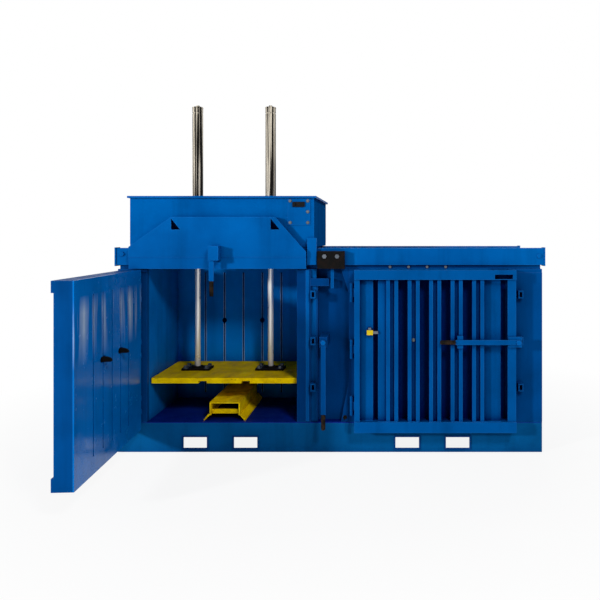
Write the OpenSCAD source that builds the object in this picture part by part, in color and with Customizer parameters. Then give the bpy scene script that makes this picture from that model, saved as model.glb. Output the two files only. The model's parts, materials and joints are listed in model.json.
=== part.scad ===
// Twin-chamber roll-on roll-off compactor, millimetres.
// X runs to the right along the front, Y runs from the front to the back, Z is up.
// The origin is the centre of the underside of the base.

/* [Frame] */
// Length of the base over both chambers
frame_length = 4240; // [4000:10:4500]
// Depth of the frame from front to back
frame_depth = 1300; // [1200:5:1400]
// Height of the chamber floor above the ground
base_height = 300; // [280:5:340]
// Height of the top of the chamber opening
chamber_top = 1830; // [1700:5:1950]
// Clear width of each chamber
chamber_width = 1500; // [1400:5:1560]
// Thickness of the wall sheets
sheet = 8; // [6:1:10]

/* [Fork pockets] */
// Width of a fork pocket
pocket_width = 235; // [200:5:260]
// Height of a fork pocket
pocket_height = 110; // [100:5:120]
// Distance between the two pockets of a pair
pocket_spacing = 504; // [480:4:560]
// Height of the strip under a pocket
pocket_bottom = 40; // [30:2:44]

/* [Rails and press head] */
// Height of the two rails
rail_height = 170; // [150:5:190]
// Width of the two rails
rail_width = 100; // [90:5:110]
// Gap between the chamber top and the rails
rail_gap = 40; // [34:2:50]
// How far the press head reaches past the chamber at each end
head_over = 170; // [150:5:180]
// Height of the box of the press head
head_height = 480; // [440:5:540]
// How far the apron stands in front of the head
apron_proud = 80; // [70:2:90]
// Diameter of the trolley wheels
wheel_diameter = 110; // [100:2:120]

/* [Press] */
// Outside diameter of the cylinder barrels
barrel_diameter = 112; // [106:1:120]
// Diameter of the piston rods
rod_diameter = 60; // [50:1:66]
// Height of the barrels above the head
barrel_rise = 975; // [960:5:1100]
// Thickness of the platen
platen_thickness = 55; // [48:1:62]
// Height of the top of the platen above the chamber floor at rest
platen_height = 422; // [410:2:460]
// Gap between the platen and the chamber walls
platen_gap = 15; // [10:1:20]

/* [Doors] */
// Angle to which the left door stands open
left_open = 86.8; // [80:0.2:90]
// Depth of the door stiles
door_depth = 150; // [140:2:160]
// How far the top and bottom rails of a door stand out
door_step = 20; // [12:1:24]
// Height of the top rail of a door
rail_top = 92; // [80:2:100]
// Height of the bottom rail of a door
rail_bot = 104; // [90:2:116]
// Width of the strap slots
strap_slot = 20; // [14:1:26]

/* [Levers] */
// Length of the left latch lever from its pivot to its end
lever_length = 850; // [800:10:880]
// Length of the right latch lever from its pivot to its end
right_length = 760; // [700:10:800]
// Length of the lever that locks the head
lock_len = 420; // [390:5:440]
// Width of the lever bars
lever_width = 46; // [40:1:50]
// Diameter of the grips
grip_diameter = 44; // [38:1:46]

/* [Fits] */
// Running clearance on the radius
run_fit = 0.3; // [0.3:0.05:0.4]
// Clearance on the radius of a fixed pin
pin_fit = 0.05; // [0.02:0.01:0.1]
// Gap between a closed door and the frame
door_gap = 5; // [4:0.5:6]

/* [Hidden] */
$fn = 64;
front = -frame_depth/2;
back = frame_depth/2;
half = frame_length/2;
spare = frame_length - 2*chamber_width;
left_post = spare*0.234;
centre_w = spare*0.5;
right_post = spare - left_post - centre_w;
lx0 = -half + left_post;
lx1 = lx0 + chamber_width;
rx0 = lx1 + centre_w;
rx1 = rx0 + chamber_width;
lmid = (lx0 + lx1)/2;
rmid = (rx0 + rx1)/2;
mids = [lmid, rmid];
clear_h = chamber_top - base_height;
floor_t = 10;
wall = 10;
sill = 100;
post_depth = 60;
back_space = 310;
channel_depth = 130;
post_plate = 6;
back_wall = back - back_space;
rail_z0 = chamber_top + rail_gap;
rail_z1 = rail_z0 + rail_height;
rail_half = half + 18;
end_plate = 14;
end_rib = 40;
strap_pitch = chamber_width*0.1453;
strap_hole_z = base_height + clear_h*0.582;
channel_w = strap_pitch*0.413;
pocket_shift = -16;
pockets = [for (m = mids) for (s = [-1, 1]) m + pocket_shift + s*pocket_spacing/2];
joist_w = 60;
joists = [for (m = mids) for (s = [-1, 0, 1]) m + pocket_shift + s*pocket_spacing];
joist_z = pocket_bottom + pocket_height + 20;

jamb = centre_w*0.135;
jamb_strip = centre_w*0.084;
jamb_right = centre_w*0.161;
recess_y = front + 110;
ledge_z = chamber_top - 170;
ledge_h = 75;
keeper_w = 50;
keeper_h = 76;
keeper_out = 70;
keeper_z = [for (k = [0.235, 0.535, 0.837]) base_height + clear_h*k];
keeper_x = lx1 + jamb + jamb_strip + 6;
recess_bar = keeper_x + keeper_w + 2;

head_length = chamber_width + 2*head_over;
head_x0 = lmid - head_length/2;
head_x1 = lmid + head_length/2;
head_z0 = rail_z1 + 40;
head_z1 = head_z0 + head_height;
flange_h = 20;
flange_out = 22;
head_wall = 12;
web_y = back - rail_width - 15;
deck_t = 15;
apron_t = 14;
apron_fold = 115;
apron_lap = 8;
apron_y = front - apron_proud;
apron_z0 = chamber_top + 6;
apron_left = head_x0 + 14;
apron_right = head_x1 - 72;
apron_top = head_z0 + head_height*0.558;
apron_high_left = rail_z0 + rail_height*1.07;
apron_high_right = rail_z0 + rail_height*0.79;
apron_in_left = head_length*0.229;
apron_in_right = head_length*0.165;
cut_h = head_height*0.23;
cut_w = head_height*0.19;
leg_w = 92;
cover_w = 228;
cover_h = head_height*0.55;
cover_t = 6;
axle_d = 34;
wheel_z = rail_z1 + wheel_diameter/2 + 0.5;
wheels_x = [head_x0 + 170, head_x1 - 170];
stop_x0 = head_x1 + 40;
stop_len = 270;
stop_x1 = stop_x0 + stop_len;
stop_proud = 80;
stop_z1 = rail_z1 - 30;
stop_bolt_x = [stop_x0 + stop_len*0.26, stop_x0 + stop_len*0.725];
guide_x = stop_x0 + (rx0 - stop_x0)*0.317;
guide_len = 190;
rail_bolt_pitch = 186;

cylinder_spacing = chamber_width*0.525;
rod_x = [lmid - cylinder_spacing/2, lmid + cylinder_spacing/2];
barrel_z0 = head_z0 + deck_t;
barrel_z1 = head_z1 + barrel_rise;
barrel_wall = 8;
piston_d = barrel_diameter - 2*barrel_wall - 2*run_fit;
piston_rise = 225;
piston_z = barrel_z0 + piston_rise;
piston_h = 60;
gland_h = 24;
platen_top = base_height + platen_height;
platen_width = chamber_width - 2*platen_gap;
platen_set = 84;
platen_y0 = front + platen_set;
platen_y1 = back_wall - platen_gap;
rod_y = (platen_y0 + platen_y1)/2;
platen_z0 = platen_top - platen_thickness;
notch_w = 84;
notch_h = platen_thickness*0.43;
flange_t = 22;
flange_l = 300;
flange_w = 190;
hub_t = 36;
ejector_w = 140;
ejector_h = 172;
ejector_t = 12;
ejector_foot = 72;
ejector_knee = 54;

hinge_r = 20;
pin_d = 18;
hinge_out = 40;
hinge_y = front - hinge_out;
hinge_in = centre_w*0.113;
hinge_x = [lx0 - hinge_in, rx0 - hinge_in];
door_in = 30;
door_z0 = base_height - 58;
door_z1 = chamber_top - 4;
door_y1 = front - door_gap;
door_width = chamber_width + hinge_in - door_in + right_post*0.121;
door_mid = chamber_width/2 + hinge_in - door_in;
hinge_end = 230;
hinge_z = [door_z0 + hinge_end, (door_z0 + door_z1)/2, door_z1 - hinge_end];
knuckle = 80;
knuckle_end = 50;
knuckle_gap = 2;
stile_l = 52;
stile_r = 82;
door_t = 8;
skin_t = 10;
rib_t = 6;
rib_pitch = chamber_width*0.14;
rib_width = rib_pitch*0.552;
rib_flange = rib_width*0.31;
rib_groove = 34;
side_bay = door_mid - 2*rib_pitch - rib_width/2 - stile_l;
door_hole_z = base_height + clear_h*0.5425;
door_hole_l = 120;
door_hole_h = 50;
slot_l = 176;
slot_h = 44;

lever_t = 16;
lever_space = 34;
lever_y = front - door_gap - door_depth - door_step - lever_space;
lever_z = base_height + clear_h*0.541;
lever_back = lever_y + lever_t + 4;
pivot_d = 30;
pivot_out = 6;
nut_d = 48;
nut_h = 14;
boss_d = lever_width + 8;
grip_len = 150;
bracket_half = 38;
bracket_h = 100;
left_pivot = keeper_x + keeper_w + bracket_half + centre_w*0.083;
right_edge = hinge_x[1] + door_in + door_width;
right_pivot = right_edge + 14;
mount_l = 130;
mount_end = 36;
rest_w = 54;
rest_x = door_mid + rib_pitch + rib_width/2 - rest_w/2;
rest_h = 120;
lock_x = lmid - head_length*0.034;
lock_z = apron_z0 + 154;
lock_out = 110;
lock_cheek = 12;
lock_side = 4;
lock_y = apron_y - lock_out + lock_cheek + lock_side;
lock_left = 28;
lock_right = 72;
lock_up = 73;
lock_down = 68;
switch_z = base_height + clear_h*0.5824;
switch_w = 60;
switch_h = 46;

blue = [0.02, 0.28, 0.58];
dark = [0.06, 0.06, 0.07];
yellow = [0.85, 0.68, 0.05];
steel = [0.72, 0.72, 0.74];

module box(x0, x1, y0, y1, z0, z1) {
  translate([x0, y0, z0]) cube([x1 - x0, y1 - y0, z1 - z0]);
}

module bar_y(x, z, d, y0, y1) {
  translate([x, y0, z]) rotate([-90, 0, 0]) cylinder(d = d, h = y1 - y0);
}

module oblong_y(x, z, l, h, y0, y1) {
  for (s = [-1, 1]) bar_y(x + s*(l - h)/2, z, h, y0, y1);
  box(x - (l - h)/2, x + (l - h)/2, y0, y1, z - h/2, z + h/2);
}

module hex_y(x, z, d, y0, y1) {
  translate([x, y0, z]) rotate([-90, 0, 0]) cylinder(d = d, h = y1 - y0, $fn = 6);
}

module plate_xz(points, y0, y1) {
  translate([0, y1, 0]) rotate([90, 0, 0]) linear_extrude(y1 - y0) polygon(points);
}

module base_frame() {
  top = base_height - floor_t;
  color(blue) difference() {
    box(-half, half, front, back, 0, top);
    box(-half + sill, half - sill, front + sill, back - sill, -1, top + 1);
    box(-half + wall, half - wall, front + wall, back - wall, wall, top - wall);
    for (x = pockets) box(x - pocket_width/2, x + pocket_width/2, front - 1, back + 1,
      pocket_bottom, pocket_bottom + pocket_height);
  }
}

// Channels across the base, open to the right
module floor_joists() {
  top = base_height - floor_t;
  color(blue) for (x = joists) difference() {
    box(x - joist_w/2, x + joist_w/2, front + wall, back - wall, joist_z, top);
    box(x - joist_w/2 + wall, x + joist_w/2 + 1, front, back, joist_z + wall, top - wall);
    for (s = [-1, 1]) box(x - joist_w, x + joist_w, s*(back - sill/2) - sill/2, s*(back - sill/2) + sill/2,
      top - wall, top + 1);
  }
}

module fork_frames() {
  color(dark) for (x = pockets) for (s = [-1, 1]) difference() {
    box(x - pocket_width/2 - 16, x + pocket_width/2 + 16, s*back - (s < 0 ? 6 : 0), s*back + (s > 0 ? 6 : 0),
      pocket_bottom - 16, pocket_bottom + pocket_height + 16);
    box(x - pocket_width/2, x + pocket_width/2, s*back - 7, s*back + 7,
      pocket_bottom, pocket_bottom + pocket_height);
  }
}

module floor_plate() {
  color(blue) box(-half, half, front, back, base_height - floor_t, base_height);
}

module back_wall_sheet() {
  color(blue) difference() {
    box(-half + 60, half - 60, back_wall, back_wall + sheet, base_height, chamber_top);
    for (m = mids) for (i = [-2:2]) box(m + i*strap_pitch - strap_slot/2, m + i*strap_pitch + strap_slot/2,
      back_wall - 1, back_wall + sheet + 1, base_height + 60, chamber_top - 90);
    for (m = mids) for (s = [-1, 1]) bar_y(m + s*strap_pitch, strap_hole_z, 2.8*strap_slot,
      back_wall - 1, back_wall + sheet + 1);
  }
}

module back_channels() {
  h = channel_w/2;
  y0 = back_wall + sheet;
  color(blue) for (m = mids) for (i = [-2:2]) {
    x = m + i*strap_pitch;
    difference() {
      box(x - h, x + h, y0, y0 + channel_depth, base_height, chamber_top);
      box(x - h + sheet, x + h - sheet, y0 - 1, y0 + channel_depth - sheet, base_height + 30, chamber_top - 30);
    }
  }
}

module front_posts() {
  y1 = front + post_depth;
  color(blue) {
    for (x = [[-half, lx0], [rx1, half]]) difference() {
      box(x[0], x[1], front, y1, base_height, chamber_top);
      box(x[0] + sheet, x[1] - sheet, front + sheet, y1 + 1, base_height + 10, chamber_top - 10);
    }
    box(right_edge + 6, half, front - post_plate, front, base_height + 10, chamber_top - 37);
  }
}

module rear_posts() {
  color(blue) for (x = [-half, half - 150, -75]) difference() {
    box(x, x + 150, back_wall + sheet, back, base_height, chamber_top);
    box(x + 10, x + 140, back_wall + sheet + 10, back - 10, base_height + 20, chamber_top - 20);
  }
}

module end_walls() {
  y0 = front + post_depth;
  color(blue) {
    box(lx0 - sheet, lx0, y0, back_wall, base_height, chamber_top);
    box(rx1, rx1 + sheet, y0, back_wall, base_height, chamber_top);
    for (e = [-1, 1]) {
      xi = e*(half - end_rib);
      box(min(xi, xi - e*sheet), max(xi, xi - e*sheet), y0, back_wall, base_height, chamber_top);
      for (k = [1:3]) {
        y = y0 + (back_wall - y0)*k/4;
        difference() {
          box(min(xi, xi + e*end_rib), max(xi, xi + e*end_rib), y - end_rib, y + end_rib,
            base_height, chamber_top);
          box(min(xi + e*sheet, xi + 2*e*end_rib), max(xi + e*sheet, xi + 2*e*end_rib),
            y - end_rib + sheet, y + end_rib - sheet, base_height - 1, chamber_top + 1);
        }
      }
    }
  }
}

module centre_walls() {
  y0 = front + post_depth;
  color(blue) {
    box(lx1, lx1 + sheet, y0, back_wall, base_height, chamber_top);
    box(rx0 - sheet, rx0, y0, back_wall, base_height, chamber_top);
  }
}

module centre_front() {
  y1 = front + post_depth;
  yb = recess_y + sheet;
  lip = lx1 + jamb;
  inner = lip + jamb_strip;
  right = rx0 - jamb_right;
  color(blue) difference() {
    union() {
      box(lx1, lip, front, y1, base_height, chamber_top);
      box(lip, inner, front - 4, yb, base_height, chamber_top);
      box(inner, right, recess_y, yb, base_height, chamber_top);
      box(recess_bar, recess_bar + 12, front + 20, yb, base_height, ledge_z);
      box(right, rx0, front, y1, base_height, chamber_top);
      box(right, right + sheet, front, yb, base_height, chamber_top);
      box(lip, lx1 + centre_w*0.516, front, yb, ledge_z, ledge_z + ledge_h);
      plate_xz([[right - centre_w*0.13, chamber_top], [right, chamber_top], [right, ledge_z - ledge_h]],
        front + 14, yb);
      plate_xz([[right - centre_w*0.13, base_height], [right, base_height],
        [right, base_height + clear_h*0.27]], front + 14, yb);
    }
    box(lx1 + sheet, lip - sheet, front + sheet, y1 + 1, base_height + 10, chamber_top - 10);
    box(lip + sheet, inner - sheet, front + sheet, yb + 1, base_height + 10, chamber_top - 10);
    box(right + sheet, rx0 - sheet, front + sheet, y1 + 1, base_height + 10, chamber_top - 10);
  }
}

module top_frame() {
  t = 8;
  y0 = front + 30;
  y1 = back - 30;
  color(blue) difference() {
    box(-half + 10, half - 10, y0, y1, chamber_top, rail_z0);
    box(lx0, lx1, y0 + 80, back_wall, chamber_top - 1, rail_z0 + 1);
    box(rx0, rx1, y0 + 80, back_wall, chamber_top - 1, rail_z0 + 1);
    box(-half, half, y0 + t, y0 + 80 - t, chamber_top + t, rail_z0 - t);
    box(-half, half, back_wall + t, y1 - t, chamber_top + t, rail_z0 - t);
    for (x = [[-half + 20, lx0 - t], [lx1 + t, rx0 - t], [rx1 + t, half - 20]])
      box(x[0], x[1], y0 + 80, back_wall, chamber_top + 10, rail_z0 + 1);
  }
}

module rails() {
  color(blue) for (s = [-1, 1]) difference() {
    y0 = s < 0 ? front : back - rail_width;
    box(-rail_half, rail_half, y0, y0 + rail_width, rail_z0, rail_z1);
    box(-rail_half - 1, rail_half + 1, y0 + 10, y0 + rail_width - 10, rail_z0 + 10, rail_z1 - 10);
  }
}

module rail_ends() {
  color(blue) for (e = [-1, 1]) for (s = [-1, 1]) {
    y0 = s < 0 ? front - 8 : back - rail_width;
    x0 = e < 0 ? -rail_half - end_plate : rail_half;
    box(x0, x0 + end_plate, y0, y0 + rail_width + 8, rail_z0 - 10, rail_z1 + 6);
  }
}

module rail_bolts() {
  color(steel) for (k = [0:3]) hex_y(rmid - 440 + k*rail_bolt_pitch, chamber_top + rail_gap/2, 30,
    front + 18, front + 30);
}

module rail_end_bolts() {
  color(blue) {
    hex_y(-half + 40, rail_z1 - 60, 46, front - 14, front);
    hex_y(half - 30, rail_z1 - 80, 46, front - 14, front);
  }
}

module stop_block() {
  color(dark) difference() {
    box(stop_x0, stop_x1, front - stop_proud, front, chamber_top + 6, stop_z1);
    for (x = stop_bolt_x) bar_y(x, stop_z1 - 52, 56, front - stop_proud - 1, front - stop_proud + 10);
  }
}

module stop_bolts() {
  y0 = front - stop_proud - 6;
  color(steel) for (x = stop_bolt_x) hex_y(x, stop_z1 - 52, 46, y0, y0 + 16);
}

module guide_bar() {
  color(blue) box(guide_x, guide_x + 30, front - 30, front - 8, chamber_top - guide_len, chamber_top + 6);
}

module hinge_brackets() {
  color(blue) for (x = hinge_x) for (z = hinge_z) for (z0 = [z - knuckle/2 - knuckle_gap - knuckle_end,
    z + knuckle/2 + knuckle_gap]) difference() {
    union() {
      translate([x, hinge_y, z0]) cylinder(r = hinge_r, h = knuckle_end);
      box(x - 15, x + 15, hinge_y, front, z0, z0 + knuckle_end);
    }
    translate([x, hinge_y, z0 - 1]) cylinder(d = pin_d + 2*pin_fit, h = knuckle_end + 2);
  }
}

module hinge_pins() {
  l = knuckle + 2*knuckle_gap + 2*knuckle_end;
  color(steel) for (x = hinge_x) for (z = hinge_z) translate([x, hinge_y, z - l/2]) {
    cylinder(d = pin_d, h = l);
    translate([0, 0, l]) cylinder(d = pin_d + 12, h = 8);
  }
}

module keepers() {
  seats = [[keeper_x, recess_y], [right_edge + 40, front - post_plate]];
  color(blue) for (k = seats) for (z = keeper_z) difference() {
    box(k[0], k[0] + keeper_w, front - keeper_out, k[1], z - keeper_h/2, z + keeper_h/2);
    box(k[0] + keeper_w*0.23, k[0] + keeper_w*0.77, front - keeper_out - 1, front - 10, z - keeper_h*0.34,
      z + keeper_h*0.34);
  }
}

module head_box() {
  z1 = head_z1 - flange_h;
  color(blue) difference() {
    box(head_x0, head_x1, front, back, head_z0, z1);
    box(head_x0 + head_wall, head_x1 - head_wall, front + head_wall, -web_y - 10, head_z0 - 1, z1 + 1);
    box(head_x0 + head_wall, head_x1 - head_wall, web_y + 10, back - head_wall, head_z0 - 1, z1 + 1);
    box(head_x0 + head_wall, head_x1 - head_wall, -web_y, web_y, head_z0 + deck_t, z1 + 1);
    for (x = rod_x) translate([x, rod_y, head_z0 - 1]) cylinder(d = rod_diameter + 2*run_fit, h = deck_t + 2);
  }
}

module head_top() {
  z0 = head_z1 - flange_h;
  color(blue) difference() {
    box(head_x0 - flange_out, head_x1 + flange_out, front - flange_out, back + flange_out, z0, head_z1);
    box(head_x0 + head_wall, head_x1 - head_wall, front + head_wall, back - head_wall, z0 - 1, head_z1 - 14);
    for (x = rod_x) translate([x, rod_y, z0]) cylinder(d = barrel_diameter + 2, h = flange_h + 1);
  }
}

function apron_points(d) = [[apron_left + d, apron_z0 + d], [apron_right - d, apron_z0 + d],
  [apron_right - d, apron_high_right - d*0.4], [apron_right - apron_in_right - d*0.4, apron_top - d],
  [apron_left + apron_in_left + d*0.4, apron_top - d], [apron_left + d, apron_high_left - d*0.4]];

module apron() {
  top = apron_top - apron_t;
  cuts = [apron_left + apron_in_left, apron_right - apron_in_right - cut_w/2];
  color(blue) difference() {
    plate_xz(apron_points(0), apron_y, front);
    plate_xz(apron_points(apron_t), apron_y + apron_t, front + 1);
    box(apron_left - 1, apron_right + 1, apron_y - 1, apron_y + apron_lap, apron_z0 - 1, apron_z0 + apron_fold);
    for (x = cuts) plate_xz([[x, top], [x, top - cut_h], [x + cut_w, top - cut_h]],
      apron_y - 1, apron_y + apron_t + 1);
  }
}

module head_leg() {
  color(blue) box(apron_right + 8, apron_right + 8 + leg_w, front - 40, front, rail_z0 + 4, head_z0 + 60);
}

module head_cover() {
  x1 = head_x1 - 36;
  z1 = head_z1 - flange_h - 6;
  color(blue) box(x1 - cover_w, x1, front - cover_t, front, z1 - cover_h, z1);
}

module cover_bolts() {
  x1 = head_x1 - 36;
  z1 = head_z1 - flange_h - 6;
  xs = [x1 - cover_w + 26, x1 - 26];
  y1 = front - cover_t;
  color(steel) {
    for (x = xs) for (z = [z1 - 24, z1 - cover_h + 24]) hex_y(x, z, 26, y1 - 10, y1);
    hex_y(x1 - 26, z1 - cover_h/2, 26, y1 - 10, y1);
  }
}

module cover_slot() {
  x1 = head_x1 - 36 - 56;
  z = head_z1 - flange_h - 6 - cover_h*0.22;
  color(dark) {
    box(x1 - 120, x1, front - cover_t - 14, front - cover_t, z - 25, z + 25);
    box(x1 - 120, x1 - 96, front - cover_t - 26, front - cover_t - 14, z - 18, z + 18);
  }
}

module barrels() {
  color(steel) for (x = rod_x) translate([x, rod_y, barrel_z0]) difference() {
    cylinder(d = barrel_diameter, h = barrel_z1 - barrel_z0);
    translate([0, 0, -1]) cylinder(d = barrel_diameter - 2*barrel_wall, h = barrel_z1 - barrel_z0 + 2);
  }
}

module barrel_collars() {
  color(blue) for (x = rod_x) translate([x, rod_y, head_z1]) difference() {
    cylinder(d = barrel_diameter + 40, h = 28);
    translate([0, 0, -1]) cylinder(d = barrel_diameter + 2, h = 30);
  }
}

module barrel_caps() {
  color(steel) for (x = rod_x) translate([x, rod_y, barrel_z1]) {
    cylinder(d = barrel_diameter + 4, h = 16);
    cylinder(d = 40, h = 34);
  }
}

module wheelsets() {
  color(dark) for (x = wheels_x) for (s = [-1, 1]) {
    y0 = s < 0 ? front + head_wall : web_y + 10;
    y1 = s < 0 ? -web_y - 10 : back - head_wall;
    bar_y(x, wheel_z, axle_d, y0, y1);
    bar_y(x, wheel_z, wheel_diameter, y0 + 14, y1 - 14);
  }
}

module lever_bracket() {
  h = bracket_h/2;
  color(blue) {
    difference() {
      box(left_pivot - bracket_half, left_pivot + bracket_half, lever_back, recess_y, lever_z - h, lever_z + h);
      box(left_pivot - bracket_half + sheet, left_pivot + bracket_half - sheet, lever_back + 20, recess_y + 1,
        lever_z - h + sheet, lever_z + h - sheet);
    }
    bar_y(left_pivot, lever_z, pivot_d, lever_y - pivot_out, lever_back + 1);
  }
}

module pivot_nuts() {
  color(blue) hex_y(left_pivot, lever_z, nut_d, lever_y - pivot_out - nut_h, lever_y - pivot_out);
}

module right_nut() {
  color(blue) hex_y(right_pivot, lever_z, nut_d, lever_y - pivot_out - nut_h, lever_y - pivot_out);
}

module rod_glands() {
  color(dark) for (x = rod_x) translate([x, rod_y, head_z0 - gland_h]) difference() {
    cylinder(d = rod_diameter + 52, h = gland_h);
    translate([0, 0, -1]) cylinder(d = rod_diameter + 2*run_fit, h = gland_h + 2);
  }
}

module lock_hub() {
  c = lock_cheek;
  x0 = lock_x - lock_left;
  x1 = lock_x + lock_right;
  z0 = lock_z - lock_down;
  z1 = lock_z + lock_up;
  ya = apron_y - lock_out;
  yb = ya + c + lever_t + 2*lock_side;
  color(blue) {
    difference() {
      box(x0, x1, ya, apron_y, z0, z1);
      box(x0 - 1, x1 - c, ya + c, yb, z0 - 1, z1 + 1);
      box(x0 + c, x1 - c, yb + c, apron_y + 1, z0 + c, z1 - c);
    }
    bar_y(lock_x, lock_z, pivot_d, ya, yb + c);
  }
}

module ejector() {
  y0 = front + 50;
  y1 = back_wall - 40;
  w = ejector_w;
  h = ejector_h;
  t = ejector_t;
  f = ejector_foot;
  k = ejector_knee;
  side = [[w, h], [w, k], [w + t, k], [w + f - 10, 0], [w + f, 0], [w + f, t], [w + 2*t, k + t],
    [w + t, k + t], [w + t, h + t]];
  other = [for (i = [len(side) - 1:-1:0]) [-side[i][0], side[i][1]]];
  color(yellow) translate([lmid + 14, 0, base_height]) {
    translate([0, y1, 0]) rotate([90, 0, 0]) linear_extrude(y1 - y0) polygon(concat(side, other));
    translate([-w, y0 + 60, k + 2]) cube([2*w, 40, 44]);
  }
}

module platen() {
  h = platen_width/2;
  color(yellow) difference() {
    box(lmid - h, lmid + h, platen_y0, platen_y1, platen_z0, platen_top);
    for (s = [-1, 1]) box(lmid + s*strap_pitch - notch_w/2, lmid + s*strap_pitch + notch_w/2, platen_y0 - 1,
      platen_y1 + 1, platen_z0 - 1, platen_z0 + notch_h);
  }
}

module rods() {
  z0 = platen_top + hub_t;
  color(steel) for (x = rod_x) translate([x, rod_y, z0]) cylinder(d = rod_diameter, h = piston_z - z0);
}

module pistons() {
  color(dark) for (x = rod_x) translate([x, rod_y, piston_z]) cylinder(d = piston_d, h = piston_h);
}

module rod_flanges() {
  color(dark) for (x = rod_x) {
    box(x - flange_l/2, x + flange_l/2, rod_y - flange_w/2, rod_y + flange_w/2,
      platen_top, platen_top + flange_t);
    translate([x, rod_y, platen_top]) cylinder(d = rod_diameter + 60, h = hub_t);
  }
}

module flange_bolts() {
  color(steel) for (x = rod_x) for (s = [-1, 1]) for (q = [-1, 1])
    translate([x + s*(flange_l/2 - 38), rod_y + q*(flange_w/2 - 33), platen_top + flange_t])
      cylinder(d = 44, h = 26, $fn = 6);
}

module door_frame() {
  w = door_width;
  t = door_t;
  step = door_depth + door_step;
  za = door_z0 + rail_bot;
  zb = door_z1 - rail_top;
  hy = hinge_y - door_y1;
  color(blue) difference() {
    union() {
      box(0, stile_l, -door_depth, -skin_t, za, zb);
      box(w - stile_r, w, -door_depth, -skin_t, za, zb);
      box(0, w, -step, -skin_t, zb, door_z1);
      box(0, w, -step, -skin_t, door_z0, za);
      for (z = hinge_z) {
        translate([-door_in, hy, z - knuckle/2]) cylinder(r = hinge_r, h = knuckle);
        box(-door_in, 0, hy - 12, hy + 12, z - knuckle/2, z + knuckle/2);
      }
    }
    for (z = hinge_z) translate([-door_in, hy, z - knuckle/2 - 1])
      cylinder(d = pin_d + 2*run_fit, h = knuckle + 2);
    box(t, stile_l + 1, -door_depth + t, -skin_t - t, za, zb);
    box(w - stile_r - 1, w - t, -door_depth + t, -skin_t - t, za, zb);
    box(t, w - t, -step + t, -skin_t - t, zb - 1, door_z1 - t);
    box(t, w - t, -step + t, -skin_t - t, door_z0 - 1, za - t);
    box(w - 34 - slot_l, w - 34, -step - 1, -step + t + 1, door_z1 - 42 - slot_h, door_z1 - 42);
  }
}

module door_skin() {
  z0 = door_z0 + rail_bot;
  z1 = door_z1 - rail_top;
  color(blue) difference() {
    box(0, door_width, -skin_t, 0, door_z0, door_z1);
    for (i = [-2:2]) box(door_mid + i*rib_pitch - strap_slot/2, door_mid + i*rib_pitch + strap_slot/2,
      -skin_t - 1, 1, z0 + 40, z1 - 40);
    for (i = [-1, 1]) oblong_y(door_mid + i*rib_pitch, door_hole_z, door_hole_l, door_hole_h, -skin_t - 1, 1);
  }
}

module door_ribs() {
  z0 = door_z0 + rail_bot;
  z1 = door_z1 - rail_top;
  h = rib_width/2;
  t = rib_t;
  a = stile_l;
  b = door_mid + 2*rib_pitch + h;
  bays = [[a, a + side_bay/2, door_depth/3], [a + side_bay*0.69, a + side_bay, door_depth*0.27],
    [b, door_width - stile_r - side_bay*0.23, door_depth*0.4]];
  color(blue) {
    for (i = [-2:2]) translate([door_mid + i*rib_pitch, 0, 0]) difference() {
      box(-h, h, -door_depth, -skin_t, z0, z1);
      box(-h + t, h - t, -door_depth + rib_groove + t, -skin_t + 1, z0 - 1, z1 + 1);
      box(-h + rib_flange, h - rib_flange, -door_depth - 1, -door_depth + rib_groove, z0 - 1, z1 + 1);
      for (x = [-h + t, h - rib_flange + t]) box(x, x + rib_flange - 2*t, -door_depth + t,
        -door_depth + rib_groove + t + 1, z0 - 1, z1 + 1);
    }
    for (p = bays) difference() {
      box(p[0], p[1], -door_depth + p[2], -skin_t, z0, z1);
      box(p[0] + t, p[1] - t, -door_depth + p[2] + t, -skin_t + 1, z0 - 1, z1 + 1);
    }
  }
}

module left_place() {
  translate([hinge_x[0], hinge_y, 0]) rotate([0, 0, -left_open]) translate([door_in, door_y1 - hinge_y, 0])
    children();
}

module right_place() {
  translate([hinge_x[1] + door_in, door_y1, 0]) children();
}

module left_door_frame() { left_place() door_frame(); }
module left_door_skin() { left_place() door_skin(); }
module left_door_ribs() { left_place() door_ribs(); }
module right_door_frame() { right_place() door_frame(); }
module right_door_skin() { right_place() door_skin(); }
module right_door_ribs() { right_place() door_ribs(); }

module switch_body() {
  x = stile_l + side_bay/2 - switch_w;
  y = -door_depth*2/3;
  color(yellow) right_place() box(x, x + switch_w, y - 44, y, switch_z, switch_z + switch_h);
}

module switch_key() {
  x = stile_l + side_bay/2;
  y = -door_depth*2/3;
  color(steel) right_place() {
    box(x, x + 50, y - 32, y - 10, switch_z + 10, switch_z + switch_h - 10);
    box(x - 46, x - 18, y - 34, y, switch_z + switch_h, switch_z + switch_h + 24);
  }
}

module right_lever_mount() {
  x1 = right_pivot + mount_end;
  color(blue) {
    box(x1 - mount_l, x1, lever_back, door_y1 - door_depth, lever_z - bracket_h/2, lever_z + bracket_h/2);
    bar_y(right_pivot, lever_z, pivot_d, lever_y - pivot_out, lever_back + 1);
    right_place() box(rest_x - rest_w/2, rest_x + rest_w/2, lever_back - door_y1, -door_depth,
      lever_z - rest_h/2, lever_z + rest_h/2);
  }
}

// A lever hanging from the origin along minus Z
module lever_bar(len) {
  difference() {
    union() {
      bar_y(0, 0, boss_d, 0, lever_t);
      box(-lever_width/2, lever_width/2, 0, lever_t, -len + grip_len, 0);
    }
    bar_y(0, 0, pivot_d + 2*run_fit, -1, lever_t + 1);
  }
}

module lever_grip(len) {
  translate([0, lever_t/2, -len]) cylinder(d = grip_diameter, h = grip_len);
}

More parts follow.
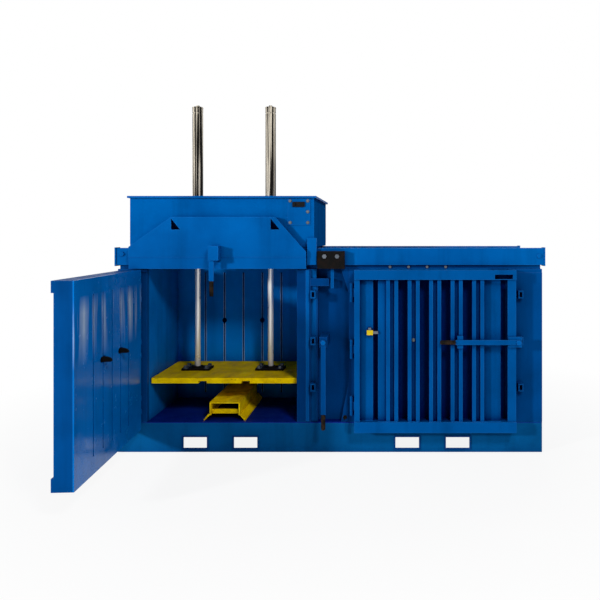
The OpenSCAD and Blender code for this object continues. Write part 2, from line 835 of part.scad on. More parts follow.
module left_lever() { color(blue) translate([left_pivot, lever_y, lever_z]) lever_bar(lever_length); }
module left_grip() { color(dark) translate([left_pivot, lever_y, lever_z]) lever_grip(lever_length); }
module right_lever() {
  color(blue) translate([right_pivot, lever_y, lever_z]) rotate([0, 90, 0]) lever_bar(right_length);
}
module right_grip() {
  color(dark) translate([right_pivot, lever_y, lever_z]) rotate([0, 90, 0]) lever_grip(right_length);
}
module lock_lever() { color(blue) translate([lock_x, lock_y, lock_z]) lever_bar(lock_len); }
module lock_grip() { color(dark) translate([lock_x, lock_y, lock_z]) lever_grip(lock_len); }

base_frame();
floor_joists();
fork_frames();
floor_plate();
back_wall_sheet();
back_channels();
front_posts();
rear_posts();
end_walls();
centre_walls();
centre_front();
top_frame();
rails();
rail_ends();
rail_bolts();
rail_end_bolts();
stop_block();
stop_bolts();
guide_bar();
hinge_brackets();
hinge_pins();
keepers();
head_box();
head_top();
apron();
head_leg();
head_cover();
cover_bolts();
cover_slot();
barrels();
barrel_collars();
barrel_caps();
wheelsets();
lever_bracket();
lock_hub();
pivot_nuts();
rod_glands();
ejector();
platen();
rods();
pistons();
rod_flanges();
flange_bolts();
left_door_frame();
left_door_skin();
left_door_ribs();
right_door_frame();
right_door_skin();
right_door_ribs();
switch_body();
switch_key();
right_lever_mount();
right_nut();
left_lever();
left_grip();
right_lever();
right_grip();
lock_lever();
lock_grip();
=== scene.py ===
"""Looks of the twin-chamber compactor: finishes, welds, fasteners, light and camera. Metres, in the CAD frame."""

import json
import math

import bmesh
import bpy
from mathutils import Matrix, Vector


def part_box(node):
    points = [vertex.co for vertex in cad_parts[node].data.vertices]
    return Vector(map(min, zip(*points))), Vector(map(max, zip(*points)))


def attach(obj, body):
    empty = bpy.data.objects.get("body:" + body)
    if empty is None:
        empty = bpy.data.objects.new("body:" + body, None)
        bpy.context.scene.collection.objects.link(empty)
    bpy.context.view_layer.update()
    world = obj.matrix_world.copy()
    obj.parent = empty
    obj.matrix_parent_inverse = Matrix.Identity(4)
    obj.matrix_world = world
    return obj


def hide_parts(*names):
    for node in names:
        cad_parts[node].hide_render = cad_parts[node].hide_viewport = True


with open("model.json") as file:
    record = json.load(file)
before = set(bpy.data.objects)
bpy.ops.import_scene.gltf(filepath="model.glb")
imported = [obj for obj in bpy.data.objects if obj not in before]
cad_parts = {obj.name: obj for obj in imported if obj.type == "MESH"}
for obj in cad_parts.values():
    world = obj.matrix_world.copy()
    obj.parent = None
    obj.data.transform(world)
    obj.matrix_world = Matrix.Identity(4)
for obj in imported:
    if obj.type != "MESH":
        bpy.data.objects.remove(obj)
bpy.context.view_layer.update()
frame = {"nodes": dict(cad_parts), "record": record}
nodes = frame["nodes"]

# Camera: the photograph's level view, with its vanishing point right of and above the middle
IMAGE = 600
FOCAL_PX = 652
VANISH_X, HORIZON_Y = 385, 236
MM_PER_PX = 10.0
FRONT_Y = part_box("base_frame")[0][1]
CENTRE_PX = 330
GROUND_PX = 452


def add_camera():
    data = bpy.data.cameras.new("camera")
    data.sensor_width = 36
    data.lens = FOCAL_PX * data.sensor_width / IMAGE
    data.shift_x = (IMAGE / 2 - VANISH_X) / IMAGE
    data.shift_y = (HORIZON_Y - IMAGE / 2) / IMAGE
    camera = bpy.data.objects.new("camera", data)
    scale = MM_PER_PX / 1000
    camera.location = ((VANISH_X - CENTRE_PX) * scale, FRONT_Y - FOCAL_PX * scale, (GROUND_PX - HORIZON_Y) * scale)
    camera.rotation_euler = (math.radians(90), 0, 0)
    bpy.context.collection.objects.link(camera)
    bpy.context.scene.camera = camera


# Node helpers
class Tree:
    """A material's node tree with short calls for the nodes used here."""

    def __init__(self, name):
        self.material = bpy.data.materials.new(name)
        self.material.use_nodes = True
        self.nodes = self.material.node_tree.nodes
        self.links = self.material.node_tree.links
        self.shader = self.nodes["Principled BSDF"]
        self.place = self.nodes.new("ShaderNodeTexCoord").outputs["Object"]

    def add(self, kind, inputs=(), **settings):
        node = self.nodes.new("ShaderNode" + kind)
        for key, value in settings.items():
            setattr(node, key, value)
        for key, value in dict(inputs).items():
            self.put(node.inputs[key], value)
        return node

    def put(self, socket, value):
        if isinstance(value, bpy.types.NodeSocket):
            self.links.new(value, socket)
        else:
            socket.default_value = value

    def noise(self, scale, detail=4.0, rough=0.55, stretch=(1, 1, 1)):
        place = self.add("Mapping", {"Vector": self.place, "Scale": stretch}).outputs["Vector"]
        return self.add("TexNoise", {"Vector": place, "Scale": scale, "Detail": detail,
                                     "Roughness": rough}).outputs["Fac"]

    def ramp(self, value, *stops):
        node = self.add("ValToRGB", {"Fac": value})
        steps = node.color_ramp.elements
        while len(steps) < len(stops):
            steps.new(0.5)
        for step, (place, colour) in zip(steps, stops):
            step.position = place
            step.color = (*colour, 1)
        return node.outputs["Color"]

    def grey(self, value, low, high, start=0.3, end=0.7):
        return self.add("MapRange", {"Value": value, "From Min": start, "From Max": end, "To Min": low,
                                     "To Max": high}).outputs["Result"]

    def mix(self, factor, a, b, blend="MIX"):
        node = self.add("Mix", data_type="RGBA", blend_type=blend)
        self.put(node.inputs[0], factor)
        for socket, value in ((node.inputs[6], a), (node.inputs[7], b)):
            self.put(socket, (*value, 1) if isinstance(value, tuple) else value)
        return node.outputs[2]

    def times(self, a, b):
        node = self.add("Math", operation="MULTIPLY")
        self.put(node.inputs[0], a)
        self.put(node.inputs[1], b)
        return node.outputs[0]

    def bump(self, height, strength, distance):
        node = self.add("Bump", {"Height": height, "Strength": strength, "Distance": distance})
        self.put(self.shader.inputs["Normal"], node.outputs["Normal"])
        return node

    def crevice_shade(self, colour, reach, low, high, dark):
        """Painted shade: darkens a colour where the shape closes in on itself, as shade falls in deep folds."""
        open_share = self.add("AmbientOcclusion", {"Distance": reach}, samples=6).outputs["AO"]
        return self.mix(self.grey(open_share, 1.0, 0.0, low, high), colour, dark)

    def edges(self, radius):
        """1 along the edges of the shape, where the paint is lightened, partly as wear and partly as a painted
        highlight.
        """
        soft = self.add("Bevel", {"Radius": radius}, samples=4).outputs["Normal"]
        flat = self.add("NewGeometry").outputs["Normal"]
        level = self.add("VectorMath", {0: soft, 1: flat}, operation="DOT_PRODUCT").outputs["Value"]
        return self.grey(level, 1.0, 0.0, 0.80, 0.985)

    def upward(self, start=0.5, end=0.9):
        """1 on faces that look up, 0 on the others."""
        normal = self.add("NewGeometry").outputs["Normal"]
        height = self.add("SeparateXYZ", {"Vector": normal}).outputs["Z"]
        return self.grey(height, 0.0, 1.0, start, end)

    def set(self, **values):
        for key, value in values.items():
            socket = self.shader.inputs[key.replace("_", " ")]
            self.put(socket, (*value, 1) if isinstance(value, tuple) else value)


def paint(name, deep, main, light, rough, scuff, wave=0.0, fold=(0.15, 0.62), shine=0.05):
    """Machine paint: cloudy colour, orange peel, lighter edges that are partly wear and partly a painted highlight,
    specks, grime that runs down, and painted shade in folds.

    A sheet with a wave has a rolled surface and, instead of the lighter edges, a pale streaky sheen at a set height,
    which is a painted highlight. fold gives the openness below and above which folds carry full painted shade and
    none.
    """
    t = Tree(name)
    clouds = t.noise(1.7, 5)
    colour = t.ramp(clouds, (0.3, deep), (0.52, main), (0.75, light))
    runs = t.noise(5.0, 6, 0.6, (1.0, 1.0, 0.06))
    grime = t.grey(runs, 0.0, 0.45, 0.50, 0.78)
    colour = t.mix(grime, colour, tuple(c * 0.40 for c in deep))
    specks = t.grey(t.noise(60, 3, 0.7), 0.0, scuff, 0.66, 0.74)
    colour = t.mix(specks, colour, tuple(0.7 * c + 0.06 for c in main))
    if wave:
        # Painted highlight: a pale, streaky sheen across the sheet between two heights
        band = t.add("SeparateXYZ", {"Vector": t.place}).outputs["Z"]
        band = t.times(t.grey(band, 0.0, 1.0, 1.15, 1.42), t.grey(band, 1.0, 0.0, 1.56, 1.70))
        sheen_streaks = t.grey(t.noise(8.0, 3, 0.5, (1.0, 1.0, 0.08)), 0.0, 0.85, 0.46, 0.66)
        colour = t.mix(t.times(band, sheen_streaks), colour, (0.46, 0.56, 0.68))
    else:
        # Lighter edges: partly paint wear, partly a painted highlight
        worn_and_highlit = t.times(t.edges(0.010), t.grey(t.noise(3.5, 4), 0.15, 0.75))
        colour = t.mix(worn_and_highlit, colour, tuple(min(1.0, 1.5 * c + 0.02) for c in light))
    # Painted shade: folds and recesses are darkened towards a navy shadow colour
    colour = t.crevice_shade(colour, 0.25, *fold, (deep[0] * 0.1, deep[1] * 0.07, deep[2] * 0.38))
    t.set(Base_Color=colour, Roughness=t.grey(t.noise(9, 5), rough - 0.08, rough + 0.12))
    t.set(Specular_IOR_Level=shine, Specular_Tint=tuple(0.05 + 0.95 * c / max(main) for c in main))
    if wave:
        t.bump(t.noise(6.0, 2, 0.4, (1.0, 1.0, 0.08)), 0.5, wave)
    else:
        t.bump(t.noise(260, 2, 0.5), 0.12, 0.0015)
    return t.material


def metal(name, colour, rough, tone, metallic=1.0, grain=True, oily=False):
    """Bare metal with stains, a fine grain where it has one, and streaks of black oil where it is oily."""
    t = Tree(name)
    stain = t.noise(14, 5, 0.55, (1, 1, 0.08)) if oily else t.noise(6, 5)
    dim = tuple(c * (1 - tone) for c in colour)
    shown = t.ramp(stain, (0.3, dim), (0.7, colour))
    if oily:
        streaks = t.noise(34, 3, 0.5, (1.0, 1.0, 0.02))
        shown = t.mix(t.grey(streaks, 1.0, 0.0, 0.47, 0.57), shown, (0.006, 0.005, 0.004))
        t.set(Specular_IOR_Level=0.05)
    t.set(Base_Color=shown, Metallic=metallic)
    if grain:
        fine = t.noise(90, 3, 0.6)
        t.set(Roughness=t.grey(fine, rough * 0.7, rough * 1.4))
        t.bump(fine, 0.08, 0.0004)
    else:
        t.set(Roughness=t.grey(stain, rough * 0.8, rough * 1.25))
    return t.material


def rough_black(name, colour, brown, rough, scale):
    """Black rubber, moulded plastic or oiled iron, with a worn brownish bloom."""
    t = Tree(name)
    t.set(Base_Color=t.ramp(t.noise(14, 6), (0.46, colour), (0.72, brown)))
    grain = t.noise(scale, 3)
    t.set(Roughness=t.grey(grain, rough - 0.1, rough + 0.12), Specular_IOR_Level=0.04)
    t.bump(grain, 0.3, 0.002)
    return t.material


def worn_yellow(name, dirt_low, dirt_high, stained):
    """Yellow paint that the pressed waste has scraped: bright and brown streaks, dark stains and bare pits."""
    t = Tree(name)
    streaks = t.noise(7, 8, 0.7, (1.0, 0.35, 1.0))
    colour = t.ramp(streaks, (0.28, (0.36, 0.21, 0.004)), (0.42, (0.80, 0.52, 0.0)), (0.58, (0.97, 0.68, 0.0)),
                    (0.76, (1.0, 0.82, 0.03)))
    stains = t.grey(t.noise(4.5, 6, 0.7), 0.0, stained, 0.50, 0.62)
    colour = t.mix(stains, colour, (0.17, 0.10, 0.012))
    pits = t.grey(t.noise(42, 4, 0.7), 0.0, 0.5, 0.62, 0.72)
    colour = t.mix(pits, colour, (0.035, 0.026, 0.012))
    dirt = t.times(t.upward(), t.grey(t.noise(3.2, 6, 0.6, (1.0, 0.5, 1.0)), dirt_low, dirt_high, 0.35, 0.65))
    colour = t.mix(dirt, colour, (0.22, 0.12, 0.003))
    # Painted shade: folds and recesses of the yellow parts are darkened
    colour = t.crevice_shade(colour, 0.12, 0.1, 0.5, (0.02, 0.013, 0.002))
    t.set(Base_Color=colour, Roughness=t.grey(streaks, 0.35, 0.65), Specular_IOR_Level=0.02,
          Specular_Tint=(1.0, 0.8, 0.1))
    t.bump(t.noise(55, 5, 0.7), 0.35, 0.003)
    return t.material


# Tones of the blue paint: deep, main and light. The blue is written in lighter and darker copies by node:
# the darker ones are painted shade (frame, posts, door frames and ribs, levers, centre front, base, chamber floor),
# the lighter ones painted light (left door skin, end walls, chamber walls).
BLUE_TONES = (0.0, 0.062, 0.240), (0.0, 0.085, 0.315), (0.0, 0.102, 0.368)
DULL_SHADE_TONES = (0.0, 0.050, 0.190), (0.0, 0.068, 0.255), (0.0, 0.080, 0.295)
POST_SHADE_TONES = (0.0, 0.038, 0.155), (0.0, 0.052, 0.210), (0.0, 0.062, 0.245)
SHADE_TONES = (0.0, 0.028, 0.125), (0.0, 0.038, 0.165), (0.0, 0.046, 0.195)
BASE_SHADE_TONES = (0.001, 0.060, 0.185), (0.001, 0.083, 0.250), (0.002, 0.099, 0.290)
FLOOR_SHADE_TONES = (0.001, 0.009, 0.120), (0.001, 0.014, 0.180), (0.002, 0.021, 0.240)
SKIN_LIT_TONES = (0.0, 0.105, 0.370), (0.0, 0.138, 0.480), (0.0, 0.160, 0.550)
WALL_LIT_TONES = (0.0, 0.126, 0.444), (0.0, 0.166, 0.576), (0.0, 0.192, 0.660)
LIP_HIGHLIGHT_TONES = (0.005, 0.120, 0.400), (0.080, 0.220, 0.520), (0.220, 0.340, 0.560)

# Apart from the two plain blues, these paints are painted shade where darker and painted light where lighter; the
# chamber floor's paint adds real scuffs.
BLUE = paint("blue_paint", *BLUE_TONES, 0.55, 0.05)
MATT = paint("blue_matt", *BLUE_TONES, 0.6, 0.05, shine=0.0)
DULL_SHADE = paint("blue_dull_shade", *DULL_SHADE_TONES, 0.46, 0.05)
FOLDED_SHADE = paint("blue_folded_shade", *DULL_SHADE_TONES, 0.42, 0.05, fold=(0.35, 0.85))
POST_SHADE = paint("blue_post_shade", *POST_SHADE_TONES, 0.46, 0.05)
SHADE = paint("blue_shade", *SHADE_TONES, 0.46, 0.05, fold=(0.0, 0.3))
BASE_SHADE = paint("blue_base_shade", *BASE_SHADE_TONES, 0.5, 0.08)
TRODDEN_AND_SHADED = paint("blue_floor_shade", *FLOOR_SHADE_TONES, 0.55, 0.2)
GLOSS_LIT = paint("blue_gloss_lit", *SKIN_LIT_TONES, 0.18, 0.0, 0.004, shine=0.16)
SHEET_LIT = paint("blue_sheet_lit", *SKIN_LIT_TONES, 0.4, 0.03, fold=(0.34, 0.60))
WALL_LIT = paint("blue_wall_lit", *WALL_LIT_TONES, 0.4, 0.03, fold=(0.34, 0.60))
# Painted highlight: a pale blue for the slot lips, without shade in folds
LIP_HIGHLIGHT = paint("blue_lip_highlight", *LIP_HIGHLIGHT_TONES, 0.4, 0.1, fold=(0.0, 0.05))
YELLOW = worn_yellow("yellow_paint", 0.0, 0.10, 0.45)
SCRAPED = worn_yellow("yellow_scraped", 0.05, 0.45, 0.25)
SWITCH = paint("yellow_plastic", (0.50, 0.36, 0.01), (0.60, 0.45, 0.02), (0.66, 0.52, 0.05), 0.5, 0.1)
CHROME = metal("chrome_rod", (0.98, 0.94, 0.88), 0.32, 0.06, 0.45, grain=False)
BARREL = metal("barrel_steel", (0.800, 0.720, 0.580), 0.60, 0.5, 0.1, grain=False, oily=True)
ZINC = metal("zinc_bolt", (0.50, 0.52, 0.55), 0.36, 0.3)
DULL_STEEL = metal("dull_steel", (0.14, 0.16, 0.19), 0.45, 0.4)
IRON = rough_black("black_iron", (0.004, 0.004, 0.004), (0.010, 0.006, 0.005), 0.6, 60)
RUBBER = rough_black("grip_rubber", (0.008, 0.007, 0.006), (0.060, 0.034, 0.018), 0.62, 180)
PLASTIC = rough_black("black_plastic", (0.008, 0.008, 0.009), (0.014, 0.014, 0.015), 0.5, 120)

# The finish of each slot, and the nodes that have a finish of their own, among them the lighter and darker copies of
# the blue paint that are painted light and painted shade
SLOTS = {"blue_paint": BLUE, "yellow_paint": YELLOW, "yellow_plastic": SWITCH, "bright_steel": ZINC,
         "chrome_rod": CHROME, "dark_iron": IRON, "black_rubber": RUBBER, "black_plastic": PLASTIC}
FINISHES = (
    (BARREL, ("barrels", "barrel_caps")),
    (DULL_STEEL, ("switch_key", "rail_bolts", "cover_bolts", "stop_bolts", "flange_bolts")),
    (SCRAPED, ("platen",)),
    (MATT, ("head_box",)),
    (BASE_SHADE, ("base_frame",)),
    (TRODDEN_AND_SHADED, ("floor_plate",)),
    (GLOSS_LIT, ("left_door_skin",)),
    (SHEET_LIT, ("end_walls",)),
    (WALL_LIT, ("back_wall_sheet", "centre_walls")),
    (FOLDED_SHADE, ("right_door_skin", "right_door_ribs")),
    (DULL_SHADE, ("top_frame", "keepers", "hinge_brackets", "right_door_frame", "right_lever", "right_lever_mount")),
    (POST_SHADE, ("front_posts", "left_lever", "hinge_pins", "left_door_frame")),
    (SHADE, ("centre_front", "lever_bracket", "fork_frames")))
OWN = {node: finish for finish, names in FINISHES for node in names}
ROUND = ("barrels", "barrel_caps", "barrel_collars", "rods", "pistons", "rod_glands", "hinge_pins", "wheelsets")


def dress_nodes():
    """Every CAD node gets its finish and a small rounded edge, which catches the light as real steel does."""
    slot_of = {part["node"]: part["material_slot"] for part in frame["record"]["subparts"]}
    for name, obj in nodes.items():
        obj.data.materials.clear()
        obj.data.materials.append(OWN.get(name, SLOTS[slot_of[name]]))
        size = min(high - low for low, high in zip(*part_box(name)))
        edge = obj.modifiers.new("edge", "BEVEL")
        edge.width = min(0.004, size * 0.12)
        edge.segments = 2
        edge.limit_method = "ANGLE"
        edge.angle_limit = math.radians(40)
        edge.harden_normals = name not in ROUND


# Detail pieces: mesh code around the solids
AXIS = 0.0005  # radius at which a turned outline closes on its axis


class Piece:
    """One added piece that rides on a body."""

    def __init__(self, name, body, slot, material):
        self.name, self.body, self.slot, self.material = name, body, slot, material
        self.bm = bmesh.new()

    def loft(self, rings, ring=False):
        """Faces between closed outlines, round to the first one again or with a cap at each end."""
        for a, b in zip(rings, rings[1:] + rings[:1] if ring else rings[1:]):
            for i in range(len(a)):
                j = (i + 1) % len(a)
                self.bm.faces.new((a[i], b[i], b[j], a[j]))
        if not ring:
            self.bm.faces.new(rings[0][::-1])
            self.bm.faces.new(rings[-1])

    def lathe(self, profile, place, axis=(0, 0, 1), steps=28):
        """Turns a closed profile of (radius, height) about an axis through place."""
        turn = Vector((0, 0, 1)).rotation_difference(Vector(axis)).to_matrix().to_4x4()
        matrix = Matrix.Translation(Vector(place)) @ turn
        rings = []
        for k in range(steps):
            angle = 2 * math.pi * k / steps
            c, w = math.cos(angle), math.sin(angle)
            rings.append([self.bm.verts.new(matrix @ Vector((r * c, r * w, h))) for r, h in profile])
        self.loft(rings, ring=True)

    def bead(self, start, end, radius, pitch=0.009):
        """A rippled bead from start to end, such as a weld."""
        start, end = Vector(start), Vector(end)
        along = end - start
        count = max(4, int(along.length / pitch) * 2)
        side = along.orthogonal().normalized()
        up = along.normalized().cross(side)
        rings = []
        for k in range(count + 1):
            swell = radius * (1.0 if k % 2 else 0.82)
            if k in (0, count):
                swell = radius * 0.3
            centre = start + along * (k / count)
            rings.append([self.bm.verts.new(centre + swell * (math.cos(a) * side + math.sin(a) * up))
                          for a in (2 * math.pi * i / 6 for i in range(6))])
        self.loft(rings)

    def done(self, *stands_for):
        bmesh.ops.recalc_face_normals(self.bm, faces=self.bm.faces)
        mesh = bpy.data.meshes.new(self.name)
        self.bm.to_mesh(mesh)
        self.bm.free()
        mesh.materials.append(self.material)
        for face in mesh.polygons:
            face.use_smooth = True
        mesh.set_sharp_from_angle(angle=math.radians(35))
        obj = bpy.data.objects.new(self.name, mesh)
        bpy.context.collection.objects.link(obj)
        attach(obj, self.body)
        if stands_for:
            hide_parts(*stands_for)
        return obj


def islands(name):
    """Lowest and highest corner of each solid of a node."""
    bm = bmesh.new()
    bm.from_mesh(nodes[name].data)
    bmesh.ops.remove_doubles(bm, verts=bm.verts, dist=1e-6)
    left, found = set(bm.verts), []
    while left:
        todo, group = [left.pop()], []
        while todo:
            vert = todo.pop()
            group.append(vert.co.copy())
            for edge in vert.link_edges:
                other = edge.other_vert(vert)
                if other in left:
                    left.remove(other)
                    todo.append(other)
        found.append(tuple(Vector(f(v[i] for v in group) for i in range(3)) for f in (min, max)))
    bm.free()
    return sorted(found, key=lambda pair: tuple(pair[0]))


def add_washers():
    """Flat washers round the bolt heads, each with a small edge break."""
    def ring(piece, place, axis, inner, outer, thick):
        cut = thick * 0.3
        piece.lathe([(inner, 0), (outer, 0), (outer, thick - cut), (outer - cut, thick), (inner, thick)], place, axis)

    frame_rings = Piece("frame_washers", "frame", "bright_steel", DULL_STEEL)
    for low, high in islands("cover_bolts"):
        radius = (high.x - low.x) / 2
        middle = (low + high) / 2
        ring(frame_rings, (middle.x, high.y, middle.z), (0, -1, 0), radius * 1.02, radius * 1.3, 0.003)
    frame_rings.done()
    platen_rings = Piece("flange_washers", "platen_body", "bright_steel", DULL_STEEL)
    for low, high in islands("flange_bolts"):
        radius = (high.x - low.x) / 2
        middle = (low + high) / 2
        ring(platen_rings, (middle.x, middle.y, low.z), (0, 0, 1), radius * 1.02, radius * 1.4, 0.004)
    platen_rings.done()


def add_turned():
    """Barrels, caps, collars and rods as turned pieces with chamfers, grooves and rings."""
    def barrel(r, h):
        wall, lip = 0.008, 0.003
        return [(r - wall, 0), (r - lip, 0), (r, lip), (r, h - 0.060), (r - lip, h - 0.057), (r - lip, h - 0.047),
                (r, h - 0.044), (r, h - lip), (r - lip, h), (r - wall, h)]

    def cap(r, h):
        plate, neck = 0.016, 0.020
        return [(AXIS, 0), (r - 0.003, 0), (r, 0.003), (r, plate - 0.004), (r - 0.004, plate),
                (neck + 0.004, plate), (neck, plate + 0.003), (neck, h - 0.004), (neck - 0.004, h), (AXIS, h)]

    def collar(r, h):
        bore = r - 0.019
        return [(bore, 0), (r, 0), (r, h * 0.55), (r - 0.006, h * 0.8), (r - 0.012, h), (bore, h)]

    def rod(r, h):
        return [(AXIS, 0), (r - 0.004, 0), (r, 0.006), (r, h - 0.004), (r - 0.004, h), (AXIS, h)]

    for name, node, body, slot, material, outline in (
            ("turned_barrels", "barrels", "frame", "bright_steel", BARREL, barrel),
            ("turned_caps", "barrel_caps", "frame", "bright_steel", BARREL, cap),
            ("turned_collars", "barrel_collars", "frame", "blue_paint", BLUE, collar),
            ("turned_rods", "rods", "platen_body", "chrome_rod", CHROME, rod)):
        work = Piece(name, body, slot, material)
        for low, high in islands(node):
            foot = (low.x + high.x) / 2, (low.y + high.y) / 2, low.z
            work.lathe(outline((high.x - low.x) / 2, high.z - low.z), foot, steps=64)
        work.done(node)


def add_grips():
    """Ribbed rubber grips in the place of the plain ones."""
    for name, body in (("left_grip", "left_latch"), ("right_grip", "right_latch"), ("lock_grip", "head_lock")):
        low, high = (Vector(c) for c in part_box(name))
        size = high - low
        flat = size.x > size.z
        length, radius = (size.x, size.z / 2) if flat else (size.z, size.x / 2)
        middle = (low + high) / 2
        outside = [(radius * 0.86, 0.0), (radius, 0.004)]
        ribs = 9
        for k in range(ribs):
            h = length * (0.05 + 0.86 * k / ribs)
            step = length * 0.86 / ribs
            outside += [(radius * 0.98, h), (radius * 0.98, h + step * 0.55), (radius * 0.86, h + step * 0.68),
                        (radius * 0.86, h + step * 0.9)]
        outside += [(radius * 0.9, length * 0.93), (radius * 0.82, length * 0.985), (radius * 0.5, length),
                    (radius * 0.12, length), (radius * 0.12, 0.0)]
        piece = Piece("ribbed_" + name, body, "black_rubber", RUBBER)
        if flat:
            piece.lathe(outside, (high.x, middle.y, middle.z), (-1, 0, 0), 40)
        else:
            piece.lathe(outside, (middle.x, middle.y, high.z), (0, 0, -1), 40)
        piece.done(name)


def add_welds():
    """Weld beads along the seams that the paint has covered."""
    bead = 0.004
    work = Piece("frame_welds", "frame", "blue_paint", BLUE)
    recess_y = FRONT_Y + 0.11
    for low, high in islands("keepers"):
        seat = high.y if high.y < FRONT_Y + 0.01 else recess_y
        for z in (low.z, high.z):
            work.bead((low.x, seat, z), (high.x, seat, z), bead)
    for low, high in islands("hinge_brackets"):
        middle = (low.x + high.x) / 2
        for x in (middle - 0.015, middle + 0.015):
            work.bead((x, FRONT_Y, low.z), (x, FRONT_Y, high.z), bead)
    for low, high in islands("front_posts"):
        work.bead((low.x, FRONT_Y, low.z), (high.x, FRONT_Y, low.z), bead)
    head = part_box("head_box")
    work.bead((head[0][0], FRONT_Y, head[1][2]), (head[1][0], FRONT_Y, head[1][2]), bead)
    low, high = (Vector(c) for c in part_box("head_leg"))
    for x in (low.x, high.x):
        work.bead((x, high.y, low.z + 0.2), (x, high.y, high.z), bead)
    for low, high in islands("barrel_collars"):
        middle = (low + high) / 2
        radius = (high.x - low.x) / 2
        ring = [(middle.x + radius * math.cos(a), middle.y + radius * math.sin(a), low.z)
                for a in (2 * math.pi * k / 16 for k in range(17))]
        for a, b in zip(ring, ring[1:]):
            work.bead(a, b, bead * 1.3)
    work.done()
    doors = Piece("right_door_welds", "right_door", "blue_paint", BLUE)
    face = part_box("right_door_skin")
    for low, high in islands("right_door_ribs"):
        for z in (low.z, high.z):
            doors.bead((low.x, low.y, z), (high.x, low.y, z), bead)
        for x in (low.x, high.x):
            doors.bead((x, face[0][1], low.z + 0.02), (x, face[0][1], high.z - 0.02), bead)
    doors.done()


def add_lips():
    """Rolled lips along the strap slots of the back wall, in a pale blue that is a painted highlight, and broken at
    the feed holes.
    """
    slots, holed = 5, (1, 3)  # slots in a chamber, and those of them with a hole
    half_slot, radius, pitch = 0.010, 0.006, 0.04
    hole_low, hole_high = 1.162, 1.219
    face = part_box("back_wall_sheet")[0][1]
    work = Piece("slot_lips", "frame", "blue_paint", LIP_HIGHLIGHT)
    for k, (low, high) in enumerate(islands("back_channels")):
        middle = (low.x + high.x) / 2
        foot, top = low.z + 0.062, high.z - 0.092
        stretches = ((foot, hole_low), (hole_high, top)) if k % slots in holed else ((foot, top),)
        for x in (middle - half_slot, middle + half_slot):
            for start, end in stretches:
                work.bead((x, face, start), (x, face, end), radius, pitch)
    work.done()


def add_fittings():
    """Small fittings: a bolt in a rib of the right door and a rubber stop at the foot of the centre front."""
    rib_x, bolt_z, groove = 0.83, 1.139, 0.034
    stop_x, stop_y, stop_z = 0.150, FRONT_Y + 0.014, 0.345
    rib = next(pair for pair in islands("right_door_ribs") if abs((pair[0].x + pair[1].x) / 2 - rib_x) < 0.06)
    middle = (rib[0] + rib[1]) / 2
    bolt = Piece("rib_bolt", "right_door", "bright_steel", DULL_STEEL)
    head = [(AXIS, 0.0), (0.017, 0.0), (0.017, 0.003), (0.012, 0.004), (0.012, 0.012), (0.009, 0.015), (AXIS, 0.015)]
    bolt.lathe(head, (middle.x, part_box("right_door_ribs")[0][1] + groove, bolt_z), (0, -1, 0))
    bolt.done()
    stop = Piece("rubber_stop", "frame", "black_rubber", RUBBER)
    foot = [(AXIS, 0.0), (0.020, 0.0), (0.020, 0.006), (0.015, 0.010), (0.017, 0.026), (0.012, 0.034), (AXIS, 0.036)]
    stop.lathe(foot, (stop_x, stop_y, stop_z), (0, -1, 0))
    stop.done()


def add_skirt():
    """A strip with a rolled lip under the head box, round all four sides, down to just over the rails."""
    low, high = (Vector(c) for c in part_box("head_box"))
    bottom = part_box("rails")[1][2] + 0.006
    strip = [(0.001, low.z), (0.001, bottom + 0.004), (0.004, bottom), (0.010, bottom), (0.011, bottom + 0.005),
             (0.007, bottom + 0.008), (0.007, low.z)]
    corners = ((low.x, low.y, 1, 1), (high.x, low.y, -1, 1), (high.x, high.y, -1, -1), (low.x, high.y, 1, -1))
    work = Piece("head_skirt", "frame", "blue_paint", MATT)
    work.loft([[work.bm.verts.new((x + across * inset, y + along * inset, z)) for inset, z in strip]
               for x, y, across, along in corners], ring=True)
    work.done()


def add_lining():
    """Strips on the centre front: a facing on the jamb, and a folded lining behind the keepers."""
    eye_low, eye_high = islands("keepers")[0]
    low, high = (Vector(c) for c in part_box("centre_front"))

    def strip(name, material, outline, inset):
        work = Piece(name, "frame", "blue_paint", material)
        work.loft([[work.bm.verts.new((x, y, z)) for x, y in outline] for z in (low.z + inset, high.z - inset)])
        work.done()

    x0, x1, face, back = eye_low.x - 0.006, eye_high.x + 0.002, FRONT_Y + 0.016, FRONT_Y + 0.076
    sheet, chamfer = 0.003, 0.004
    strip("recess_lining", DULL_SHADE, [
        (x0, back), (x0, face + chamfer), (x0 + chamfer, face), (x1 - chamfer, face), (x1, face + chamfer),
        (x1, back), (x1 - sheet, back), (x1 - sheet, face + 0.005), (x0 + sheet, face + 0.005),
        (x0 + sheet, back)], 0.001)
    x0, x1, face, back = eye_low.x - 0.054, eye_low.x - 0.022, low.y - 0.004, low.y + 0.001
    chamfer = 0.002
    strip("jamb_facing", BLUE, [
        (x0, back), (x0, face + chamfer), (x0 + chamfer, face), (x1 - chamfer, face), (x1, face + chamfer),
        (x1, back)], 0.012)


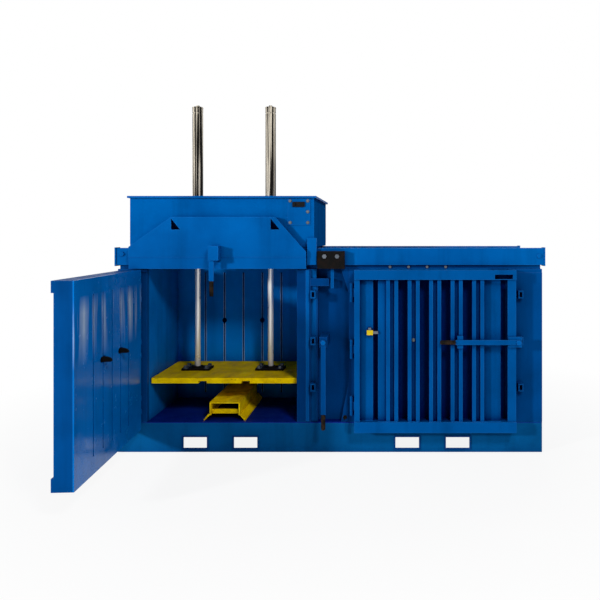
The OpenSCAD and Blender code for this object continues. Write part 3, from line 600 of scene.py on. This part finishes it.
def add_claws():
    """Claws that reach through the oblong openings of the door skins."""
    ribs = islands("right_door_ribs")
    right = [Vector(c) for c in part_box("right_door_skin")]
    left = [Vector(c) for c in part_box("left_door_skin")]
    width, sheet = right[1].x - right[0].x, right[1].y - right[0].y
    opening_z = 1.130
    turn = math.radians(86.8)  # how far the left door stands open
    along_left = Vector((math.cos(turn), -math.sin(turn), 0))
    in_left = Vector((math.sin(turn), math.cos(turn), 0))
    far_left = Vector((left[1].x, left[0].y + sheet * math.cos(turn), 0))
    side = [(-0.012, -0.021), (-0.012, 0.021), (0.030, 0.021), (0.058, 0.012), (0.071, -0.002), (0.075, -0.012),
            (0.071, -0.019), (0.060, -0.021)]
    layers = (-0.016, 0.94), (-0.013, 1.0), (0.013, 1.0), (0.016, 0.94)
    for body in ("left_door", "right_door"):
        work = Piece(body + "_claws", body, "dark_iron", IRON)
        for rib in (ribs[2], ribs[4]):
            reach = (rib[0].x + rib[1].x) / 2 - right[0].x
            if body == "left_door":
                place, along, inward = far_left - along_left * (width - reach), along_left, in_left
            else:
                place = Vector((right[0].x + reach, right[1].y, 0))
                along, inward = Vector((1, 0, 0)), Vector((0, 1, 0))
            place.z = opening_z
            up = Vector((0, 0, 1))
            work.loft([[work.bm.verts.new(place + along * shift + inward * (depth * trim) + up * (rise * trim))
                        for depth, rise in side] for shift, trim in layers])
        work.done()


def add_stage():
    """A white floor that goes over into a white world, with the object's shadow kept faint."""
    t = Tree("floor")
    t.set(Base_Color=t.ramp(t.noise(0.8), (0.3, (0.80, 0.80, 0.80)), (0.7, (0.84, 0.84, 0.84))), Roughness=0.9)
    path = t.add("LightPath")
    seen = t.add("Math", {0: path.outputs["Is Camera Ray"], 1: path.outputs["Is Glossy Ray"]}, operation="MAXIMUM")
    glow = t.add("Emission", {"Color": (1, 1, 1, 1), "Strength": 1.0})
    far = t.add("VectorMath", {0: t.place}, operation="LENGTH").outputs["Value"]
    share = t.grey(far, 0.88, 1.0, 2.4, 5.0)
    blend = t.add("MixShader", {0: t.times(seen.outputs[0], share), 1: t.shader.outputs[0], 2: glow.outputs[0]})
    t.put(t.nodes["Material Output"].inputs["Surface"], blend.outputs[0])
    mesh = bpy.data.meshes.new("floor")
    side, near, away = 60, -30, 90
    mesh.from_pydata([(-side, near, 0), (side, near, 0), (side, away, 0), (-side, away, 0)], [], [(0, 1, 2, 3)])
    mesh.materials.append(t.material)
    floor = bpy.data.objects.new("floor", mesh)
    floor.location.z = -0.002
    bpy.context.collection.objects.link(floor)


def add_world():
    world = bpy.data.worlds.new("studio")
    bpy.context.scene.world = world
    world.use_nodes = True
    tree = world.node_tree
    tree.nodes.clear()
    out = tree.nodes.new("ShaderNodeOutputWorld")
    path = tree.nodes.new("ShaderNodeLightPath")
    fill = tree.nodes.new("ShaderNodeBackground")
    fill.inputs["Color"].default_value = (0.93, 0.96, 1.0, 1)
    fill.inputs["Strength"].default_value = 0.19
    white = tree.nodes.new("ShaderNodeBackground")
    white.inputs["Color"].default_value = (1, 1, 1, 1)
    white.inputs["Strength"].default_value = 1.0
    mix = tree.nodes.new("ShaderNodeMixShader")
    shown = path.outputs["Is Camera Ray"]
    for other in ("Is Glossy Ray", "Is Transmission Ray"):
        either = tree.nodes.new("ShaderNodeMath")
        either.operation = "MAXIMUM"
        tree.links.new(shown, either.inputs[0])
        tree.links.new(path.outputs[other], either.inputs[1])
        shown = either.outputs[0]
    tree.links.new(shown, mix.inputs[0])
    tree.links.new(fill.outputs[0], mix.inputs[1])
    tree.links.new(white.outputs[0], mix.inputs[2])
    tree.links.new(mix.outputs[0], out.inputs[0])


def add_lamp(name, place, target, size, power):
    data = bpy.data.lights.new(name, "AREA")
    data.shape = "RECTANGLE"
    data.size, data.size_y = size
    data.energy = power
    lamp = bpy.data.objects.new(name, data)
    lamp.location = place
    lamp.rotation_euler = (Vector(target) - Vector(place)).to_track_quat("-Z", "Y").to_euler()
    bpy.context.collection.objects.link(lamp)


def add_lights():
    add_lamp("key", (-11.8, -11.0, 4.8), (0, 0, 1.2), (1.2, 1.2), 1850)
    add_lamp("fill", (3.4, -8.2, 7.0), (-0.5, 0, 1.0), (1.6, 1.6), 470)
    add_lamp("back", (2.0, 6.0, 6.0), (0, 0, 1.5), (5.0, 3.0), 200)


add_camera()
dress_nodes()
add_washers()
add_turned()
add_grips()
add_welds()
add_lips()
add_fittings()
add_skirt()
add_lining()
add_claws()
add_stage()
add_world()
add_lights()
bpy.context.scene.view_settings.view_transform = "Standard"
